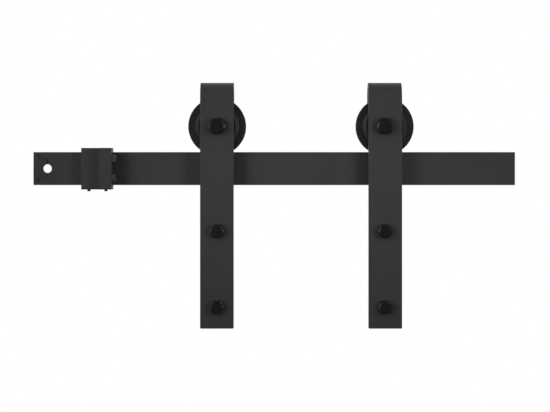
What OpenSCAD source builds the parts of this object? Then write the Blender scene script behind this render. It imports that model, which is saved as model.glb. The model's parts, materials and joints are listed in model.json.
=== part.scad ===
// Sliding door track: a flat rail with an end stop and two rolling strap hangers.
// Millimetres. +X runs along the rail, +Y points to the wall and +Z is up.
// The origin lies midway between the two wall holes, on the back face of the rail.

/* [Rail] */
// Length of the rail, with the joint at its left end
rail_length = 584; // [500:1:900]
// Height of the rail
rail_height = 40; // [36:0.5:48]
// Thickness of the rail
rail_thickness = 6; // [5:0.5:7]
// Radius along the long edges of the rail
rail_edge_radius = 0.8; // [0.3:0.1:1.5]
// Diameter of the holes for the wall bolts
wall_hole_diameter = 10.5; // [8.5:0.5:13]
// Distance between the wall holes
wall_hole_pitch = 406.4; // [300:0.1:480]
// Distance from the left end of the rail to its first wall hole
wall_hole_inset = 17; // [14:0.5:24]

/* [Rail joint] */
// Distance from the left end of the rail to the shoulders of the joint
joint_shoulder = 6.3; // [4:0.1:8]
// Height of the tongue
tongue_height = 24; // [18:0.5:30]
// Width of the open seams across the rail
joint_gap = 0.6; // [0.3:0.1:1.5]
// Clearance above and below the tongue
tongue_clearance = 0.1; // [0.05:0.05:0.3]

/* [Stop] */
// Distance from the left end of the rail to the stop
stop_position = 58.7; // [40:0.1:70]
// Width of the stop along the rail
stop_width = 37.5; // [34:0.5:44]
// Wall of the stop above and below the rail
stop_wall = 5; // [4:0.5:8]
// Wall of the stop in front of the rail
stop_front_wall = 8; // [6:0.5:8.5]
// Width of the raised cheek at the right of the stop
stop_cheek_width = 14.8; // [14:0.1:18]
// How far the cheek stands in front of the straps
stop_cheek_overhang = 2.3; // [1:0.1:5]
// Thickness of the lips behind the rail
stop_lip_thickness = 5; // [4:0.5:7]
// Height of each lip behind the rail
stop_lip_height = 11; // [6:0.5:15]
// Clearance in front of, behind and under the rail
stop_clearance = 0.3; // [0.1:0.05:0.5]
// Radius along the long edges of the stop
stop_edge_radius = 1.2; // [0.5:0.1:2]
// Diameter of the set screws under the stop
set_screw_diameter = 4; // [3:0.5:5.5]
// Distance between the set screws
set_screw_spacing = 20.7; // [14:0.1:26]
// How far the set screws stand out under the stop
set_screw_projection = 2.2; // [1:0.1:4]
// Thread diameter of the two bolts that meet the strap
stop_bolt_diameter = 6; // [5:0.5:8]
// Size across the flats of their heads
stop_bolt_flats = 10; // [9:0.5:13]
// Height of their heads
stop_bolt_head = 5.2; // [4:0.1:6]
// Distance between the two bolts
stop_bolt_spacing = 21.8; // [18:0.1:26]
// Length of their shanks in the cheek
stop_bolt_shank = 12; // [8:0.5:13]

/* [Strap] */
// Width of the straps
strap_width = 40.5; // [34:0.5:44]
// Thickness of the straps
strap_thickness = 6; // [5:0.25:7]
// Height of a strap from its crest to its lower end
strap_height = 297; // [270:1:340]
// Clear space between the two legs of a strap
strap_gap = 26; // [24:0.5:30]
// Height of the crest above the axle
strap_crest = 53; // [51:0.5:70]
// How far the back leg reaches below the axle
back_leg_reach = 25; // [16:0.5:27]
// Radius of the corners at the ends of a strap
strap_corner_radius = 1.5; // [0.5:0.1:4]
// Distance from the left end of the rail to the middle of the left strap
left_hanger_position = 222.9; // [200:0.1:260]
// Distance from the left end of the rail to the middle of the right strap
right_hanger_position = 425.9; // [380:0.1:445]

/* [Door bolts] */
// Thickness of the door that the bolts clamp
door_thickness = 40; // [34:1:45]
// Diameter of the door bolts
door_bolt_diameter = 10; // [8:0.5:10.5]
// Diameter of the neck in the strap and of the thread in the nut
door_bolt_neck = 9; // [7:0.1:9.2]
// Size across the flats of the heads and nuts
door_bolt_flats = 16; // [15:0.5:19]
// Height of the heads
door_bolt_head = 6.4; // [5:0.1:8]
// Height of the nuts
door_nut_height = 8; // [6:0.5:9]
// Diameter of the washers behind the door
door_washer_diameter = 20; // [18:0.5:26]
// Thickness of the washers behind the door
door_washer_thickness = 2; // [1.5:0.1:3]
// How far the bolts stand out of their nuts
door_bolt_projection = 2; // [1:0.5:5]
// Distance between the two bolts of a strap
door_bolt_spacing = 91.5; // [70:0.5:105]
// Distance from the lower end of the strap to its lower bolt
door_bolt_inset = 26; // [15:0.5:35]

/* [Wheel] */
// Diameter of the wheel over its flanges
wheel_diameter = 70; // [66:0.5:72]
// Diameter of the tread, at the bottom of the groove
tread_diameter = 62; // [58:0.5:63]
// Running gap between the tread and the rail
tread_gap = 0.1; // [0.05:0.05:0.3]
// Room on each side of the rail at the bottom of the groove
groove_clearance = 0.6; // [0.4:0.1:1]
// How much wider each side of the groove is at the rim
groove_flare = 1; // [0.5:0.1:1.5]
// Thickness of each flange at the rim
flange_thickness = 3; // [2:0.1:4]
// Chamfer on the outer edge of each flange
flange_chamfer = 0.8; // [0.3:0.1:1.5]
// Width of the hub
hub_width = 20; // [18:0.5:22]
// Diameter of the flat face of the hub
hub_diameter = 46; // [42:0.5:50]
// Diameter at the foot of the bevel round the hub
hub_bevel_diameter = 53; // [51:0.5:56]
// How far the hub's lips close over the bearing
bearing_lip = 1.8; // [1:0.1:2.2]

/* [Bearing] */
// Outside diameter of the bearing
bearing_diameter = 32; // [31:0.5:34]
// Width of the bearing
bearing_width = 10; // [9:0.5:11]
// Number of balls
ball_count = 7; // [5:1:7]
// Diameter of the balls
ball_diameter = 6; // [5.4:0.1:6.2]
// Clearance between the balls and their tracks
ball_clearance = 0.1; // [0.05:0.05:0.15]
// Share of a ball's radius that the shoulders of the races reach over
shoulder_share = 0.42; // [0.3:0.01:0.5]
// Thickness of the cage beside each ball
cage_rim = 0.7; // [0.5:0.1:0.8]
// Gap between the cage and the shoulders of the races
cage_gap = 0.7; // [0.4:0.1:1]
// Thickness of the shields
shield_thickness = 0.6; // [0.4:0.1:0.7]
// How far the shields lie below the faces of the bearing
shield_inset = 0.2; // [0.1:0.1:0.4]
// How far the shields reach into the outer race
shield_bite = 0.6; // [0.3:0.1:0.8]
// Running gap between the shields and the inner race
shield_gap = 0.3; // [0.2:0.05:0.5]

/* [Axle] */
// Diameter of the axle bolt
axle_diameter = 12; // [10:0.5:12.5]
// Size across the flats of the axle bolt's head and nut
axle_flats = 19; // [18:0.5:21]
// Height of the axle bolt's head
axle_head = 7.5; // [6:0.1:9]
// Diameter of the spacers beside the bearing
spacer_diameter = 17; // [16:0.1:18]
// Diameter of the washer under the axle nut
axle_washer_diameter = 24; // [22:0.5:28]
// Thickness of the washer under the axle nut
axle_washer_thickness = 2.5; // [2:0.1:3]
// Height of the hexagon of the axle nut
axle_nut_height = 9; // [7:0.5:11]
// Height of the round collar that holds the nut's insert
axle_nut_collar = 3; // [2.5:0.1:4]
// Wall of the insert in the axle nut
insert_wall = 1.6; // [1:0.1:1.8]
// How far the insert lies below the end of the collar
insert_inset = 0.6; // [0.3:0.1:1]
// Taper of the collar's wall
collar_taper = 1; // [0.5:0.1:1.2]
// How far the axle bolt stands out of its nut
axle_projection = 2.5; // [1:0.5:5]

/* [Fits] */
// Radial clearance of bolts in drilled holes
bolt_clearance = 0.5; // [0.25:0.05:0.75]
// Radial clearance between pieces that are pressed, screwed or slipped together
fit_clearance = 0.04; // [0.02:0.01:0.1]

/* [Hidden] */
$fn = 96;

// Overlap of a cutting shape past the face that it opens
cut = 1;
// Share of the size across the flats that a hexagon's round chamfer leaves flat
hex_face_share = 0.95;
hex_chamfer_angle = 30;
// Size across a hexagon's flats as a share of the size across its corners
hex_flats_share = cos(180 / 6);
// Chamfer on the free ends of the bolts
bolt_end_chamfer = 1;

// Colours
coat_black = "#3a3a3a";
oxide_black = "#242424";
nylon_black = "#232323";
zinc_grey = "#8d9094";
bright_steel = "#c2c5c9";
insert_blue = "#2f4a63";

// Rail
rail_left = -wall_hole_pitch / 2 - wall_hole_inset;
rail_right = rail_left + rail_length;
rail_top = rail_height / 2;
rail_front = -rail_thickness;
rail_middle = rail_front / 2;
wall_holes = [-wall_hole_pitch / 2, wall_hole_pitch / 2];
shoulder_x = rail_left + joint_shoulder;
tongue_x = wall_holes[0];

// Stop
stop_left = rail_left + stop_position;
stop_right = stop_left + stop_width;
stop_middle = (stop_left + stop_right) / 2;
stop_top = rail_top + stop_wall;
stop_floor = -rail_top - stop_clearance;
stop_bottom = stop_floor - stop_wall;
stop_front = rail_front - stop_clearance - stop_front_wall;
stop_back = stop_clearance + stop_lip_thickness;
// Share of the screw's diameter left at its tip, height of its point and depth of its socket
set_screw_tip = 0.7;
set_screw_point = 1;
set_screw_socket = 2;

// Wheel and strap, whose middle plane is that of the rail
axle_z = rail_top + tread_gap + tread_diameter / 2;
strap_front = rail_middle - strap_gap / 2 - strap_thickness;
strap_back = strap_front + strap_thickness;
cheek_front = strap_front - stop_cheek_overhang;
back_leg_front = rail_middle + strap_gap / 2;
back_leg_back = back_leg_front + strap_thickness;
bend_inner = strap_gap / 2;
bend_outer = bend_inner + strap_thickness;
crest_z = axle_z + strap_crest;
bend_z = crest_z - bend_outer;
strap_end = crest_z - strap_height;
door_bolts_z = [strap_end + door_bolt_inset, strap_end + door_bolt_inset + door_bolt_spacing];
hangers = [["left", rail_left + left_hanger_position], ["right", rail_left + right_hanger_position]];
groove_bottom = rail_thickness / 2 + groove_clearance;
groove_rim = groove_bottom + groove_flare;
rim_half = groove_rim + flange_thickness;

// Bearing
ball_track = ball_diameter / 2 + ball_clearance;
inner_race_bore = axle_diameter / 2 + fit_clearance;
ball_pitch = (bearing_diameter / 2 + axle_diameter / 2) / 2;
shoulder_reach = ball_track * (1 - shoulder_share);
shoulder_inner = ball_pitch - shoulder_reach;
shoulder_outer = ball_pitch + shoulder_reach;
shield_seat = shoulder_outer + shield_bite;
cage_half = ball_track + cage_rim;
cage_half_wall = shoulder_reach - cage_gap;

// Axle and door bolts with their nuts, behind the strap
axle_hole = axle_diameter / 2 + bolt_clearance / 2;
door_washer_bore = door_bolt_diameter / 2 + bolt_clearance / 2;
door_back = strap_back + door_thickness;
door_nut_y = door_back + door_washer_thickness;
door_bolt_end = door_nut_y + door_nut_height + door_bolt_projection;
axle_nut_y = back_leg_back + axle_washer_thickness;
axle_end = axle_nut_y + axle_nut_height + axle_nut_collar + axle_projection;
insert_bore = axle_diameter / 2 + fit_clearance;
insert_radius = insert_bore + insert_wall;
insert_height = axle_nut_collar - insert_inset;
collar_radius = axle_flats / 2 * hex_face_share;
collar_tip = collar_radius - collar_taper;

// Extrudes an outline in Y and Z along X
module along_x(start, end) {
    translate([start, 0, 0])
        rotate([90, 0, 90])
            linear_extrude(end - start)
                children();
}

// Extrudes an outline in X and Z from a front face back towards the wall
module plate(front, thickness) {
    translate([0, front + thickness, 0])
        rotate([90, 0, 0])
            linear_extrude(thickness)
                children();
}

// Turns a shape built on Z to point to the wall, at a height and depth
module to_wall(y, z) {
    translate([0, y, z])
        rotate([-90, 0, 0])
            children();
}

// Rectangle with round corners, from its lowest to its highest corner
module rounded_rectangle(low, high, radius) {
    size = high - low;
    translate(low + [radius, 0])
        square([size[0] - 2 * radius, size[1]]);
    translate(low + [0, radius])
        square([size[0], size[1] - 2 * radius]);
    for (x = [low[0] + radius, high[0] - radius], y = [low[1] + radius, high[1] - radius])
        translate([x, y])
            circle(radius);
}

// Ring or tube that stands on the XY plane
module tube(outer, inner, height) {
    difference() {
        cylinder(r = outer, h = height);
        translate([0, 0, -cut])
            cylinder(r = inner, h = height + 2 * cut);
    }
}

// Hexagon with its round chamfer on the lower face
module hexagon(flats, height) {
    face = flats / 2 * hex_face_share;
    intersection() {
        cylinder(d = flats / hex_flats_share, h = height, $fn = 6);
        cylinder(r1 = face, r2 = face + height / tan(hex_chamfer_angle), h = height);
    }
}

// Rod with a chamfered far end
module rod(diameter, length) {
    straight = length - bolt_end_chamfer;
    cylinder(d = diameter, h = straight);
    translate([0, 0, straight])
        cylinder(d1 = diameter, d2 = diameter - 2 * bolt_end_chamfer, h = bolt_end_chamfer);
}

module rail_outline() {
    rounded_rectangle([rail_front, -rail_top], [0, rail_top], rail_edge_radius);
}

module wall_hole(x) {
    translate([x, rail_front - cut, 0])
        rotate([-90, 0, 0])
            cylinder(d = wall_hole_diameter, h = rail_thickness + 2 * cut);
}

// Block across the thickness of the rail, used to part the joint
module joint_block(start, end, height) {
    translate([start, rail_front - cut, -height / 2])
        cube([end - start, rail_thickness + 2 * cut, height]);
}

module rail() {
    socket_height = tongue_height + 2 * tongue_clearance;
    color(coat_black)
        difference() {
            along_x(shoulder_x + joint_gap / 2, rail_right)
                rail_outline();
            joint_block(shoulder_x, tongue_x + joint_gap / 2, socket_height);
            for (x = wall_holes)
                wall_hole(x);
        }
}

module rail_joint_tongue() {
    color(coat_black)
        difference() {
            union() {
                along_x(rail_left, shoulder_x - joint_gap / 2)
                    rail_outline();
                intersection() {
                    along_x(rail_left + joint_shoulder / 2, tongue_x - joint_gap / 2)
                        rail_outline();
                    joint_block(rail_left, tongue_x, tongue_height);
                }
            }
            wall_hole(tongue_x);
        }
}

// Section of the stop: a saddle that closes round the rail with two lips behind it
module stop_section() {
    difference() {
        rounded_rectangle([stop_front, stop_bottom], [stop_back, stop_top], stop_edge_radius);
        translate([rail_front - stop_clearance, stop_floor])
            square([rail_thickness + 2 * stop_clearance, rail_top - stop_floor]);
        translate([0, stop_floor + stop_lip_height])
            square([stop_back + cut, rail_top - stop_floor - 2 * stop_lip_height]);
    }
}

module cheek_section() {
    rounded_rectangle(
        [cheek_front, stop_bottom], [stop_front + 2 * stop_edge_radius, stop_top], stop_edge_radius
    );
}

// Places a child on each set screw's axis, at the lower edge of the rail
module at_set_screws() {
    for (side = [-1, 1])
        translate([stop_middle + side * set_screw_spacing / 2, rail_middle, -rail_top])
            children();
}

// Places a child on each stop bolt's axis, in line with the strap, pointing right
module at_stop_bolts() {
    for (side = [-1, 1])
        translate([stop_right, strap_front + strap_thickness / 2, side * stop_bolt_spacing / 2])
            rotate([0, 90, 0])
                children();
}

module stop_body() {
    color(coat_black)
        difference() {
            union() {
                along_x(stop_left, stop_right)
                    stop_section();
                along_x(stop_right - stop_cheek_width, stop_right)
                    cheek_section();
            }
            at_set_screws()
                translate([0, 0, stop_bottom + rail_top - cut])
                    cylinder(d = set_screw_diameter + 2 * fit_clearance, h = stop_wall + 2 * cut);
            at_stop_bolts()
                translate([0, 0, -stop_bolt_shank - cut])
                    cylinder(d = stop_bolt_diameter + 2 * fit_clearance, h = stop_bolt_shank + 2 * cut);
        }
}

module stop_set_screws() {
    length = set_screw_projection - rail_top - stop_bottom;
    socket_flats = set_screw_diameter / 2;
    color(oxide_black)
        at_set_screws()
            difference() {
                union() {
                    translate([0, 0, -length])
                        cylinder(d = set_screw_diameter, h = length - set_screw_point);
                    translate([0, 0, -set_screw_point])
                        cylinder(
                            d1 = set_screw_diameter,
                            d2 = set_screw_diameter * set_screw_tip,
                            h = set_screw_point
                        );
                }
                translate([0, 0, -length - cut])
                    cylinder(d = socket_flats / hex_flats_share, h = set_screw_socket + cut, $fn = 6);
            }
}

module stop_bolts() {
    color(oxide_black)
        at_stop_bolts() {
            translate([0, 0, stop_bolt_head])
                mirror([0, 0, 1])
                    hexagon(stop_bolt_flats, stop_bolt_head);
            translate([0, 0, -stop_bolt_shank])
                cylinder(d = stop_bolt_diameter, h = stop_bolt_shank);
        }
}

// Outline of one leg of a strap, from its square-cut end up to the bend
module leg_outline(end) {
    half = strap_width / 2;
    translate([-half, end + strap_corner_radius])
        square([strap_width, bend_z - end - strap_corner_radius]);
    translate([-half + strap_corner_radius, end])
        square([strap_width - 2 * strap_corner_radius, bend_z - end]);
    for (side = [-1, 1])
        translate([side * (half - strap_corner_radius), end + strap_corner_radius])
            circle(strap_corner_radius);
}

// Half ring over the wheel
module bend_outline() {
    translate([rail_middle, bend_z])
        difference() {
            circle(bend_outer);
            circle(bend_inner);
            translate([-bend_outer - cut, -bend_outer - cut])
                square([2 * (bend_outer + cut), bend_outer + cut]);
        }
}

module strap() {
    color(coat_black)
        difference() {
            union() {
                plate(strap_front, strap_thickness)
                    leg_outline(strap_end);
                plate(back_leg_front, strap_thickness)
                    leg_outline(axle_z - back_leg_reach);
                along_x(-strap_width / 2, strap_width / 2)
                    bend_outline();
            }
            to_wall(strap_front - cut, axle_z)
                cylinder(r = axle_hole, h = back_leg_back - strap_front + 2 * cut);
            for (z = door_bolts_z)
                to_wall(strap_front - cut, z)
                    cylinder(r = door_bolt_diameter / 2 + bolt_clearance, h = strap_thickness + 2 * cut);
        }
}

module axle_bolt() {
    color(oxide_black) {
        to_wall(strap_front - axle_head, axle_z)
            hexagon(axle_flats, axle_head);
        to_wall(strap_front, axle_z)
            rod(axle_diameter, axle_end - strap_front);
    }
}

// One spacer on each side of the bearing's inner race
module axle_spacers() {
    length = (strap_gap - bearing_width) / 2;
    color(zinc_grey)
        for (y = [strap_back, back_leg_front - length])
            to_wall(y, axle_z)
                tube(spacer_diameter / 2, axle_diameter / 2 + fit_clearance, length);
}

module axle_washer() {
    color(oxide_black)
        to_wall(back_leg_back, axle_z)
            tube(axle_washer_diameter / 2, axle_hole, axle_washer_thickness);
}

module axle_nut() {
    color(oxide_black)
        to_wall(axle_nut_y, axle_z)
            difference() {
                union() {
                    hexagon(axle_flats, axle_nut_height);
                    translate([0, 0, axle_nut_height])
                        cylinder(r1 = collar_radius, r2 = collar_tip, h = axle_nut_collar);
                }
                translate([0, 0, -cut])
                    cylinder(r = axle_diameter / 2 + fit_clearance, h = axle_nut_height + 2 * cut);
                translate([0, 0, axle_nut_height])
                    cylinder(r = insert_radius, h = axle_nut_collar + cut);
            }
}

module axle_nut_insert() {
    color(insert_blue)
        to_wall(axle_nut_y + axle_nut_height, axle_z)
            tube(insert_radius - fit_clearance, insert_bore, insert_height);
}

module door_bolts() {
    color(oxide_black)
        for (z = door_bolts_z) {
            to_wall(strap_front - door_bolt_head, z)
                hexagon(door_bolt_flats, door_bolt_head);
            to_wall(strap_front, z)
                cylinder(d = door_bolt_neck, h = strap_thickness);
            to_wall(strap_back, z)
                cylinder(d = door_bolt_diameter, h = door_thickness);
            to_wall(door_back, z)
                rod(door_bolt_neck, door_bolt_end - door_back);
        }
}

module door_washers() {
    color(oxide_black)
        for (z = door_bolts_z)
            to_wall(door_back, z)
                tube(door_washer_diameter / 2, door_washer_bore, door_washer_thickness);
}

module door_nuts() {
    color(oxide_black)
        for (z = door_bolts_z)
            to_wall(door_nut_y, z)
                difference() {
                    translate([0, 0, door_nut_height])
                        mirror([0, 0, 1])
                            hexagon(door_bolt_flats, door_nut_height);
                    translate([0, 0, -cut])
                        cylinder(r = door_bolt_neck / 2 + fit_clearance, h = door_nut_height + 2 * cut);
                }
}

// Half section of the wheel as radius and place along the axle, on the wall side
function wheel_side() = [
    [bearing_diameter / 2 + fit_clearance, bearing_width / 2 + fit_clearance],
    [bearing_diameter / 2 - bearing_lip, bearing_width / 2 + fit_clearance],
    [bearing_diameter / 2 - bearing_lip, hub_width / 2],
    [hub_diameter / 2, hub_width / 2],
    [hub_bevel_diameter / 2, rim_half],
    [wheel_diameter / 2 - flange_chamfer, rim_half],
    [wheel_diameter / 2, rim_half - flange_chamfer],
    [wheel_diameter / 2, groove_rim],
    [tread_diameter / 2, groove_bottom]
];

module wheel() {
    side = wheel_side();
    last = len(side) - 1;
    other_side = [for (i = [last : -1 : 0]) [side[i][0], -side[i][1]]];
    color(nylon_black)
        to_wall(rail_middle, axle_z)
            rotate_extrude()
                polygon(concat(side, other_side));
}

module bearing_outer_race() {
    half = bearing_width / 2;
    seat = half - shield_inset - shield_thickness;
    color(bright_steel)
        to_wall(rail_middle, axle_z)
            rotate_extrude()
                difference() {
                    translate([shoulder_outer, -half])
                        square([bearing_diameter / 2 - shoulder_outer, bearing_width]);
                    translate([ball_pitch, 0])
                        circle(ball_track);
                    for (low = [-half - cut, seat])
                        translate([0, low])
                            square([shield_seat, half + cut - seat]);
                }
}

module bearing_inner_race() {
    color(bright_steel)
        to_wall(rail_middle, axle_z)
            rotate_extrude()
                difference() {
                    translate([inner_race_bore, -bearing_width / 2])
                        square([shoulder_inner - inner_race_bore, bearing_width]);
                    translate([ball_pitch, 0])
                        circle(ball_track);
                }
}

// One shield on each face of the bearing, seated in the outer race
module bearing_shields() {
    seat = bearing_width / 2 - shield_inset - shield_thickness;
    color(zinc_grey)
        for (y = [rail_middle - seat - shield_thickness, rail_middle + seat])
            to_wall(y, axle_z)
                tube(shield_seat - fit_clearance, shoulder_inner + shield_gap, shield_thickness);
}

// Places a child at the middle of each ball
module at_balls() {
    to_wall(rail_middle, axle_z)
        for (i = [0 : ball_count - 1])
            rotate([0, 0, i * 360 / ball_count])
                translate([ball_pitch, 0, 0])
                    children();
}

module bearing_cage() {
    color(zinc_grey)
        difference() {
            to_wall(rail_middle - cage_half, axle_z)
                tube(ball_pitch + cage_half_wall, ball_pitch - cage_half_wall, 2 * cage_half);
            at_balls()
                rotate([0, 90, 0])
                    cylinder(r = ball_track, h = 2 * shoulder_reach, center = true);
        }
}

module bearing_balls() {
    color(bright_steel)
        at_balls()
            sphere(d = ball_diameter);
}

rail();
rail_joint_tongue();
stop_body();
stop_set_screws();
stop_bolts();
for (hanger = hangers)
    translate([hanger[1], 0, 0]) {
        strap();
        axle_bolt();
        axle_spacers();
        axle_washer();
        axle_nut();
        axle_nut_insert();
        door_bolts();
        door_washers();
        door_nuts();
        wheel();
        bearing_outer_race();
        bearing_inner_race();
        bearing_shields();
        bearing_cage();
        bearing_balls();
    }
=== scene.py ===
# %% [markdown]
# # Sliding barn door track with strap hangers
#
# A flat steel rail carries two bent straps. Each strap hangs from a grooved wheel that rolls on the upper
# edge of the rail, two bolts in the strap clamp the door, and a stop at the left end of the rail catches the
# straps. The solids arrive packed, in metres, with every piece in its place. They could be shown as they
# are, but sawn steel under a powder coat has soft edges, bolts have threads, and each metal has its own
# finish. So this lesson keeps every place and size, and dresses each piece.

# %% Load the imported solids
import json
import math

import bmesh
import bpy
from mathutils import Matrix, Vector


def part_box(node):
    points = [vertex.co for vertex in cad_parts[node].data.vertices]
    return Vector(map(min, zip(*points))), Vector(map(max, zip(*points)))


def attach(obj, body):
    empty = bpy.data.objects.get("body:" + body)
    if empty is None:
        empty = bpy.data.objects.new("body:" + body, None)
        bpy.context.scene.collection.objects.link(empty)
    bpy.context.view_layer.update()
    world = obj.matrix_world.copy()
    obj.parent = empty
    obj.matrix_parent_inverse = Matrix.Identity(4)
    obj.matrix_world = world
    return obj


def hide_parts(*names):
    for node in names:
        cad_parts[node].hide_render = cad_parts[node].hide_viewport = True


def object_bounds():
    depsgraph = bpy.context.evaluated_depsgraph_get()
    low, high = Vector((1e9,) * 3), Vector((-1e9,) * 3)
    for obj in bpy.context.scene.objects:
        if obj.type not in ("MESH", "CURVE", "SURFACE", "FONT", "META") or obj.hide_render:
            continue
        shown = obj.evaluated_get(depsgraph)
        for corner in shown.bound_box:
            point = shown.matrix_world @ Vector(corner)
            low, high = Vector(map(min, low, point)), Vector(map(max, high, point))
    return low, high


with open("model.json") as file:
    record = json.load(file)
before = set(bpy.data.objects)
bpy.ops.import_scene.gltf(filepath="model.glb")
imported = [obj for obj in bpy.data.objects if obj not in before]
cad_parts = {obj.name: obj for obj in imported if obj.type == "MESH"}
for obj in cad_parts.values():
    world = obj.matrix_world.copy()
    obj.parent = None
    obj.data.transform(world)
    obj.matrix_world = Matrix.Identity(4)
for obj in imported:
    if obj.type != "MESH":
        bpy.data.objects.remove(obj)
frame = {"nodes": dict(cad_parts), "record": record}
cad_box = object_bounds()
scene = bpy.context.scene
MM = 0.001
SIDES = ("left", "right")
print("nodes:", len(frame["nodes"]))

# %% [markdown]
# ## Camera
#
# The photograph looks straight at the rail from the front with a long lens. The camera could be placed by
# eye, but the rail's length is known, and so are the picture columns of its two ends. That length over the
# number of columns gives the size of a pixel at the rail. With the camera's distance, the pixel then fixes
# the lens and the camera's place.

# %% Camera
# Columns and rows are in pixels, the distance in metres and the sensor in millimetres
PHOTO_WIDTH = 550
PHOTO_HEIGHT = 412
RAIL_LEFT_COLUMN = 33.4
RAIL_RIGHT_COLUMN = 515.0
RAIL_ROW = 168.6
CAMERA_DISTANCE = 2.4
SENSOR_WIDTH = 36
# A quarter turn about X points a camera, a drill or an axle straight at the wall
TO_WALL = (math.radians(90), 0, 0)

rail_low, rail_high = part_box("rail")
track_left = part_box("rail_joint_tongue")[0].x
pixel = (rail_high.x - track_left) / (RAIL_RIGHT_COLUMN - RAIL_LEFT_COLUMN)
camera_data = bpy.data.cameras.new("camera")
camera_data.sensor_width = SENSOR_WIDTH
camera_data.lens = SENSOR_WIDTH * CAMERA_DISTANCE / (PHOTO_WIDTH * pixel)
camera_data.shift_y = (RAIL_ROW - PHOTO_HEIGHT / 2) / PHOTO_WIDTH
camera = bpy.data.objects.new("camera", camera_data)
camera.location = (
    track_left + (PHOTO_WIDTH / 2 - RAIL_LEFT_COLUMN) * pixel,
    rail_low.y - CAMERA_DISTANCE,
    (rail_low.z + rail_high.z) / 2,
)
camera.rotation_euler = TO_WALL
scene.collection.objects.link(camera)
scene.camera = camera
print(f"one pixel is {pixel / MM:.3f} mm at the rail, lens {camera_data.lens:.1f} mm")

# %% [markdown]
# ## One way to add a node
#
# Shaders, the world and Geometry Nodes are all trees of nodes. One small function adds any node: it sets the
# node's own properties, and fills each input with a value or with another node's output. Colours are written
# as sRGB hex values, the way a colour picker shows them, and one function turns them to the linear values
# that a shader works with.

# %% Node and colour helpers
def node(tree, kind, inputs=None, **settings):
    """Adds a node, sets its properties, and fills its inputs with values or other nodes' outputs."""
    made = tree.nodes.new(kind)
    for name, value in settings.items():
        setattr(made, name, value)
    for key, value in (inputs or {}).items():
        if isinstance(value, bpy.types.NodeSocket):
            tree.links.new(value, made.inputs[key])
        else:
            made.inputs[key].default_value = value
    return made


def linear(colour):
    """The linear RGBA of an sRGB hex colour."""
    channels = [int(colour[i:i + 2], 16) / 255 for i in (1, 3, 5)]
    return [c / 12.92 if c <= 0.04045 else ((c + 0.055) / 1.055) ** 2.4 for c in channels] + [1.0]


print("mid grey #808080 is", round(linear("#808080")[0], 3), "in linear light")

# %% [markdown]
# ## White studio
#
# The photograph stands on pure white. More light would bleach the object, so the white comes from the world
# instead: rays from the camera, and those that a mirror or glass sends on, meet a white of strength 1, and
# only the other rays use the weaker ambient light.

# %% World
AMBIENT = 0.04
PAPER_WHITE = "#ffffff"
PAPER_STRENGTH = 1


def seen_rays(tree):
    """One for the rays that show the surroundings, straight or by a mirror or glass, and zero for others."""
    rays = node(tree, "ShaderNodeLightPath").outputs
    seen = rays["Is Camera Ray"]
    for kind in ("Is Glossy Ray", "Is Transmission Ray"):
        seen = node(tree, "ShaderNodeMath", {0: seen, 1: rays[kind]}, operation="MAXIMUM").outputs[0]
    return seen


scene.view_settings.view_transform = "Standard"
world = bpy.data.worlds.new("white_studio")
scene.world = world
world.use_nodes = True
tree = world.node_tree
tree.nodes.clear()
ambient = node(tree, "ShaderNodeBackground", {"Color": linear(PAPER_WHITE), "Strength": AMBIENT})
paper = node(tree, "ShaderNodeBackground", {"Color": linear(PAPER_WHITE), "Strength": PAPER_STRENGTH})
shown = node(
    tree, "ShaderNodeMixShader", {0: seen_rays(tree), 1: ambient.outputs[0], 2: paper.outputs[0]}
)
node(tree, "ShaderNodeOutputWorld", {"Surface": shown.outputs[0]})
print("world: white to the camera, ambient", AMBIENT)

# %% [markdown]
# ## Floor
#
# The track is hung on a wall, so the floor is a metre below it and out of the photograph's view. It could be
# a large plane, but its edge would show in a view from above, so it is a pale disc that fades out towards
# its rim. A glow that only the camera and mirrors see keeps it pale, and what the lamps add to it still
# falls away in the object's shadow.

# %% Floor disc
FLOOR_DROP = 1.0
FLOOR_RADIUS = 3.5
FLOOR_SIDES = 96


def to_mesh(name, shape):
    """A mesh of this name from a shape, which is then let go."""
    mesh = bpy.data.meshes.new(name)
    shape.to_mesh(mesh)
    shape.free()
    return mesh


shape = bmesh.new()
bmesh.ops.create_circle(shape, cap_ends=True, radius=FLOOR_RADIUS, segments=FLOOR_SIDES)
floor = bpy.data.objects.new("floor", to_mesh("floor", shape))
floor.location = (0, 0, cad_box[0].z - FLOOR_DROP)
scene.collection.objects.link(floor)
print("floor at", round(floor.location.z, 3), "m")

# %% Material: pale floor paint
# The share of the radius where the disc starts to fade, and the strength of its glow
FLOOR_FADE = 0.45
FLOOR_GLOW = 0.62
FLOOR_PAINT = "#c8c8c6"

# Matt paint gives the eye an even pale ground, with soft shadows and no reflections
paint = bpy.data.materials.new("pale_floor_paint")
paint.use_nodes = True
tree = paint.node_tree
tree.nodes.clear()
glow = node(tree, "ShaderNodeMath", {0: seen_rays(tree), 1: FLOOR_GLOW}, operation="MULTIPLY")
emission = node(tree, "ShaderNodeEmission", {"Strength": glow.outputs[0]})
diffuse = node(tree, "ShaderNodeBsdfDiffuse", {"Color": linear(FLOOR_PAINT)})
lit = node(tree, "ShaderNodeAddShader", {0: emission.outputs[0], 1: diffuse.outputs[0]})
place = node(tree, "ShaderNodeTexCoord").outputs["Object"]
reach = node(tree, "ShaderNodeVectorMath", {0: place}, operation="LENGTH")
fade = node(
    tree,
    "ShaderNodeMapRange",
    {"Value": reach.outputs["Value"], "From Min": FLOOR_RADIUS * FLOOR_FADE, "From Max": FLOOR_RADIUS},
    interpolation_type="SMOOTHSTEP",
)
clear = node(tree, "ShaderNodeBsdfTransparent")
faded = node(
    tree, "ShaderNodeMixShader", {0: fade.outputs["Result"], 1: lit.outputs[0], 2: clear.outputs[0]}
)
node(tree, "ShaderNodeOutputMaterial", {"Surface": faded.outputs[0]})
floor.data.materials.append(paint)
print("made", paint.name)

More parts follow.
